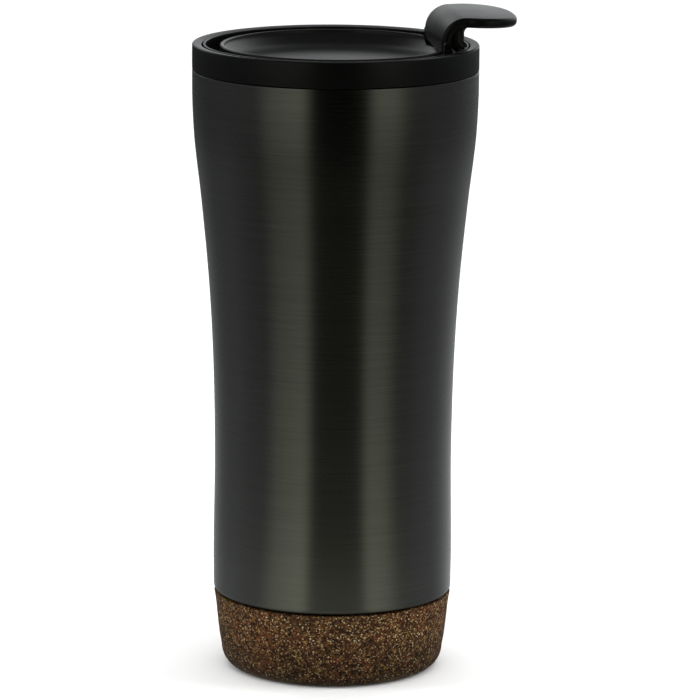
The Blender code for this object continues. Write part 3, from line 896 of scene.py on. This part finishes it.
def block_face(rise):
    """How far out the block's back is at a height: a flared foot, an upright face, a fillet."""
    if rise < BLOCK_FACE_BOTTOM:
        share = max(rise - BLOCK_FOOT_TOP, 0.0) / (BLOCK_FACE_BOTTOM - BLOCK_FOOT_TOP)
        return BLOCK_FOOT_OUT - (BLOCK_FOOT_OUT - BLOCK_OUT) * (share * share * (3 - 2 * share))
    if rise < UNDER_TAB - BLOCK_FILLET:
        return BLOCK_OUT
    drop = min((rise - UNDER_TAB + BLOCK_FILLET) / BLOCK_FILLET, 1.0)
    return BLOCK_OUT + BLOCK_FILLET * (1 - math.sqrt(max(1 - drop**2, 0.0)))


def make_lever_block():
    """Block behind the strip, over the slot. Its top and inner side stay buried in the strip."""
    inner = HINGE_OUT + 0.3
    buried_radius = BEND_RADIUS - 1.2
    bottom_trim = 0.15
    foot_steps = 5
    fillet_steps = 8
    foot_height = BLOCK_FACE_BOTTOM - BLOCK_FOOT_TOP
    rises = [BLOCK_BOTTOM, BLOCK_BOTTOM + bottom_trim, BLOCK_FOOT_TOP]
    rises += [BLOCK_FOOT_TOP + foot_height * i / foot_steps for i in range(1, foot_steps + 1)]
    rises += [UNDER_TAB - BLOCK_FILLET * (1 - i / fillet_steps) for i in range(fillet_steps + 1)]
    rises += [UNDER_TAB + 0.6]
    sections = []
    for rise in rises:
        trim = bottom_trim if rise == BLOCK_BOTTOM else 0.0
        reach = math.sqrt(buried_radius**2 - max(rise - BEND_RISE, 0.0) ** 2)
        low = (max(inner, BEND_OUT - reach), trim - BLOCK_HALF_WIDTH)
        high = (block_face(rise) - trim, BLOCK_HALF_WIDTH - trim)
        ring = rounded_rectangle(low, high, BLOCK_CORNER)
        sections.append([Vector((x, y, rise)) * MM for x, y in ring])
    return loft("lever_block", sections, LID_FRAME)


def make_stopper(finish):
    top = 0.0
    bottom = PLATFORM_TOP + GAP
    edge = 0.2
    near, far = STOPPER_OUT
    half = STOPPER_HALF_WIDTH
    sections = []
    for rise, trim in ((bottom, edge), (bottom + edge, 0.0), (top - edge, 0.0), (top, edge)):
        low = (near + trim, trim - half)
        high = (far - trim, half - trim)
        ring = rounded_rectangle(low, high, STOPPER_CORNER)
        sections.append([Vector((x, y, rise)) * MM for x, y in ring])
    stopper = loft("slot_stopper", sections, LID_FRAME, finish)
    side_view = [(36.7, PLUG_TOP), (36.7, PLUG_BOTTOM), (37.2, PLUG_BOTTOM), (37.8, PLUG_TOP)]
    plug = plate("plug", side_view, -PLUG_HALF_WIDTH, PLUG_HALF_WIDTH, LID_FRAME, upright=True)
    combine(stopper, plug, "UNION")
    stem_ends = [(STEM_OUT, 0.0, -0.4), (STEM_OUT, 0.0, 2.1)]
    combine(stopper, rod("stem", STEM_RADIUS, *stem_ends, LID_FRAME), "UNION")
    smooth(stopper)
    return seat(stopper, "lever", "black_silicone", "stopper")


# Studio


def soft_box(name, bearing, distance, height, size, power):
    """Area light that faces the cup. Bearing 0 is in front of it, positive to its right."""
    light = bpy.data.lights.new(name, "AREA")
    light.shape = "RECTANGLE"
    light.size, light.size_y = size
    light.energy = power
    lamp = bpy.data.objects.new(name, light)
    lamp.visible_glossy = False
    bpy.context.scene.collection.objects.link(lamp)
    turn = math.radians(bearing)
    where = Vector((distance * math.sin(turn), -distance * math.cos(turn), height))
    aim = Vector((0.0, 0.0, 0.1)) - where
    facing = aim.to_track_quat("-Z", "Y").to_matrix().to_4x4()
    lamp.matrix_world = Matrix.Translation(where) @ facing
    return lamp


def reflection_only(piece):
    """What reflections see of the studio: the camera sees a plain pale one."""
    piece.visible_camera = False
    piece.visible_diffuse = False
    piece.visible_transmission = False
    piece.visible_shadow = False


class Glow(Finish):
    """Emission that depends on the bearing round the cup, the distance from it and the height."""

    def __init__(self, name):
        super().__init__(name)
        split = self.add("ShaderNodeSeparateXYZ")
        self.link(self.coords, split.inputs["Vector"])
        behind = self.calculate("MULTIPLY", split.outputs["Y"], -1.0)
        turn = self.calculate("ARCTAN2", split.outputs["X"], behind)
        self.bearing = self.calculate("ADD", self.calculate("DIVIDE", turn, 2 * math.pi), 0.5)
        self.height = split.outputs["Z"]
        flat = self.add("ShaderNodeCombineXYZ")
        self.link(split.outputs["X"], flat.inputs["X"])
        self.link(split.outputs["Y"], flat.inputs["Y"])
        length = self.add("ShaderNodeVectorMath", operation="LENGTH")
        self.link(flat.outputs["Vector"], length.inputs[0])
        self.distance = length.outputs["Value"]

    def around(self, levels):
        """Ramp over the bearing, from (degrees, level or colour) pairs."""
        stops = [((degrees + 180.0) / 360.0, level) for degrees, level in levels]
        return self.ramp(self.bearing, stops)

    def shine(self, strength):
        lamp = self.add("ShaderNodeEmission")
        self.link(self.around(TINTS), lamp.inputs["Color"])
        self.link(strength, lamp.inputs["Strength"])
        self.link(lamp.outputs["Emission"], self.tree.nodes["Material Output"].inputs["Surface"])
        return self.material


# Bearing from the front of the cup in degrees, positive to its right, and the tent's light there.
AROUND = (
    (-180, 0.28),
    (-172, 0.20),
    (-163, 0.07),
    (-150, 0.10),
    (-135, 0.24),
    (-105, 0.50),
    (-66, 0.50),
    (-54, 1.20),
    (-28, 1.80),
    (-17, 0.0),
    (24, 0.0),
    (34, 1.60),
    (48, 1.70),
    (60, 0.60),
    (74, 0.42),
    (96, 0.50),
    (130, 0.52),
    (160, 0.42),
    (180, 0.26),
)
# The same for the floor: where the strips light it, in front of the cup, and beside and behind it.
STRIPS_ON_FLOOR = (
    (-100, 0.0),
    (-66, 0.35),
    (-52, 1.05),
    (-26, 1.35),
    (-17, 0.0),
    (24, 0.0),
    (32, 1.20),
    (48, 1.05),
    (62, 0.35),
    (90, 0.0),
)
FRONT_OF_FLOOR = ((-110, 0.0), (-60, 0.8), (-20, 1.3), (24, 1.3), (60, 0.7), (100, 0.0))
BACK_OF_FLOOR = (
    (-180, 1.0),
    (-150, 0.85),
    (-130, 0.75),
    (-100, 1.2),
    (-60, 0.0),
    (60, 0.0),
    (90, 1.1),
    (130, 1.3),
)
BACKDROP_AROUND = ((-177, 1.0), (-165, 0.15), (-150, 0.0), (140, 0.0), (155, 1.0))
# Colour of the light from each bearing.
WARM = (1.0, 1.02, 0.84)
COOL = (0.96, 0.99, 1.0)
TINTS = ((-180, COOL), (-70, COOL), (-50, WARM), (-22, WARM), (30, WARM), (56, WARM), (76, COOL))
# Two soft windows high up behind the cup, left and right: they light the slopes of the lid's dish.
WINDOWS_AROUND = (
    (-176, 0.0),
    (-166, 1.0),
    (-140, 1.0),
    (-125, 0.0),
    (125, 0.0),
    (140, 1.0),
    (166, 1.0),
    (176, 0.0),
)
BACKDROP_LIGHT = 1.6
WINDOW_LIGHT = 1.6

# Share of the tent's height, and how bright its walls, its backdrop and its windows are there.
WALLS_UP = ((0.7, 1.0), (0.95, 0.08))
BACKDROP_UP = ((0.0, 0.35), (0.06, 1.0), (0.22, 1.0), (0.36, 0.0))
WINDOWS_UP = ((0.18, 0.0), (0.28, 1.0), (0.55, 1.0), (0.7, 0.0))

# Distance from the cup's axis in metres, and how bright each part of the floor is there.
STRIPS_OUT = (
    (0.05, 0.3),
    (0.1, 0.75),
    (0.16, 1.05),
    (0.22, 0.95),
    (0.3, 0.6),
    (0.36, 0.15),
    (0.6, 0.0),
    (1.0, 1.0),
)
FRONT_OUT = ((0.05, 0.4), (0.1, 0.7), (0.15, 0.55), (0.2, 0.3), (0.26, 0.07), (0.32, 0.0))
BACK_OUT = ((0.06, 0.3), (0.12, 0.5), (0.3, 0.44), (0.45, 0.36), (0.7, 0.2), (1.0, 0.08))

# Metres
TENT_RADIUS = 2.2
TENT_HEIGHT = 3.0
FLOOR_HALF_SIZE = 6.0
FAR_FLOOR_LIGHT = 0.5
SKY_LIGHT = 0.6

# Lamp, bearing in degrees, distance and height in metres, size in metres, power in watts.
LAMPS = (
    ("left_strip", -80.0, 1.3, 0.9, (0.45, 1.3), 8.0),
    ("right_strip", 85.0, 1.3, 0.9, (0.6, 1.3), 12.0),
    ("back_box", 180.0, 1.2, 2.2, (3.0, 2.0), 30.0),
    ("top_box", 0.0, 0.5, 2.3, (2.5, 2.5), 22.0),
)


def make_light_tent():
    """Glowing tent: two strips, softer panels, a backdrop, two windows, and a dark gap in front."""
    mesh = bpy.data.meshes.new("light_tent")
    shape = bmesh.new()
    bmesh.ops.create_cone(
        shape,
        cap_ends=True,
        segments=96,
        radius1=TENT_RADIUS,
        radius2=TENT_RADIUS,
        depth=TENT_HEIGHT,
    )
    bmesh.ops.translate(shape, verts=shape.verts, vec=(0.0, 0.0, TENT_HEIGHT / 2))
    caps = [face for face in shape.faces if len(face.verts) > 4]
    floor_cap = min(caps, key=lambda face: face.calc_center_median().z)
    bmesh.ops.delete(shape, geom=[floor_cap], context="FACES")
    shape.to_mesh(mesh)
    shape.free()
    glow = Glow("light_tent")
    rise = glow.calculate("DIVIDE", glow.height, TENT_HEIGHT)
    strength = glow.calculate("MULTIPLY", glow.around(AROUND), glow.ramp(rise, WALLS_UP))
    for bearings, heights, light in (
        (BACKDROP_AROUND, BACKDROP_UP, BACKDROP_LIGHT),
        (WINDOWS_AROUND, WINDOWS_UP, WINDOW_LIGHT),
    ):
        panel = glow.calculate("MULTIPLY", glow.around(bearings), glow.ramp(rise, heights))
        strength = glow.calculate("MAXIMUM", strength, glow.calculate("MULTIPLY", panel, light))
    reflection_only(add_piece("light_tent", mesh, Matrix.Identity(4), glow.shine(strength)))


def make_floor_bounce():
    """The floor as reflections see it: lit in the strips' bearings, and in front and behind."""
    mesh = bpy.data.meshes.new("floor_bounce")
    shape = bmesh.new()
    bmesh.ops.create_circle(shape, cap_ends=True, segments=96, radius=TENT_RADIUS + 0.05)
    shape.to_mesh(mesh)
    shape.free()
    glow = Glow("floor_bounce")
    strength = 0.0
    for bearings, distances in (
        (STRIPS_ON_FLOOR, STRIPS_OUT),
        (FRONT_OF_FLOOR, FRONT_OUT),
        (BACK_OF_FLOOR, BACK_OUT),
    ):
        fall = glow.ramp(glow.distance, distances)
        part = glow.calculate("MULTIPLY", glow.around(bearings), fall)
        strength = glow.calculate("ADD", strength, part)
    just_above_floor = Matrix.Translation((0.0, 0.0, 0.0004))
    reflection_only(add_piece("floor_bounce", mesh, just_above_floor, glow.shine(strength)))


def make_floor():
    """White floor. Its far part glows a little, to stay as white as the part near the lamps."""
    mesh = bpy.data.meshes.new("studio_floor")
    shape = bmesh.new()
    bmesh.ops.create_grid(shape, x_segments=1, y_segments=1, size=FLOOR_HALF_SIZE)
    shape.to_mesh(mesh)
    shape.free()
    finish = Finish("studio_floor")
    away = finish.add("ShaderNodeVectorMath", operation="LENGTH")
    finish.link(finish.coords, away.inputs[0])
    far = finish.calculate("DIVIDE", away.outputs["Value"], FLOOR_HALF_SIZE)
    share = finish.ramp(far, ((0.25, 0.0), (0.5, 1.0)))
    lift = finish.calculate("MULTIPLY", share, FAR_FLOOR_LIGHT)
    finish.set(Base_Color=(0.9, 0.9, 0.9), Roughness=0.9)
    finish.set(Emission_Color=(1.0, 1.0, 1.0), Emission_Strength=lift)
    finish.shader.inputs["Specular IOR Level"].default_value = 0.1
    floor = add_piece("studio_floor", mesh, Matrix.Identity(4), finish.material)


def make_world():
    """Even white sky that brightens to full white at the horizon."""
    world = bpy.data.worlds.new("studio")
    bpy.context.scene.world = world
    world.use_nodes = True
    background = world.node_tree.nodes["Background"]
    background.inputs["Color"].default_value = (1.0, 1.0, 1.0, 1.0)
    tree = world.node_tree
    split = tree.nodes.new("ShaderNodeSeparateXYZ")
    coords = tree.nodes.new("ShaderNodeTexCoord")
    tree.links.new(coords.outputs["Generated"], split.inputs["Vector"])
    sky = tree.nodes.new("ShaderNodeMapRange")
    sky.inputs["From Min"].default_value = 0.06
    sky.inputs["From Max"].default_value = 0.16
    sky.inputs["To Min"].default_value = 1.0
    sky.inputs["To Max"].default_value = SKY_LIGHT
    tree.links.new(split.outputs["Z"], sky.inputs["Value"])
    tree.links.new(sky.outputs["Result"], background.inputs["Strength"])


def make_camera():
    distance = 1.442
    height = 0.391
    pitch = 11.43
    roll = 0.4
    camera = bpy.data.cameras.new("camera")
    camera.sensor_width = 36.0
    camera.lens = 244.1
    camera.shift_x = 0.0233
    viewer = bpy.data.objects.new("camera", camera)
    bpy.context.scene.collection.objects.link(viewer)
    place = Matrix.Translation((0.0, -distance, height))
    place = place @ Matrix.Rotation(math.radians(90.0 - pitch), 4, "X")
    viewer.matrix_world = place @ Matrix.Rotation(math.radians(roll), 4, "Z")
    bpy.context.scene.camera = viewer


dark_steel = brushed_steel(
    "dark_brushed_steel", (0.045, 0.046, 0.043), (0.075, 0.076, 0.071), 0.27, 0.8
)
bare_steel = brushed_steel("bare_steel", (0.42, 0.41, 0.39), (0.62, 0.61, 0.59), 0.3, 0.5)
black_plastic = moulded_plastic("black_plastic", (0.0006, 0.0006, 0.0007), 0.36)
dish_plastic = moulded_plastic("dish_plastic", (0.003, 0.003, 0.003), 0.34)
black_silicone = moulded_plastic("black_silicone", (0.018, 0.018, 0.018), 0.6, grain=1800.0)
cork = pressed_cork("dark_cork")
foam = soft_foam("adhesive_pad", (0.6, 0.58, 0.52))

make_outer_shell(dark_steel)
make_inner_cup(bare_steel)
make_collar(black_plastic)
make_cork_base(cork)
make_lid_housing(black_plastic)
make_lid_gasket(black_silicone)
make_lid_dish(dish_plastic)
make_hinge_pin(black_plastic)
make_lever(black_plastic)
make_stopper(black_silicone)

for node, finish in (
    ("shell_end_cap", bare_steel),
    ("collar_seal", black_silicone),
    ("base_pad", foam),
):
    kept = frame["nodes"][node]
    kept.data.materials.clear()
    kept.data.materials.append(finish)

make_floor()
make_world()
make_light_tent()
make_floor_bounce()
for lamp in LAMPS:
    soft_box(*lamp)
make_camera()
bpy.context.scene.view_settings.view_transform = "Standard"
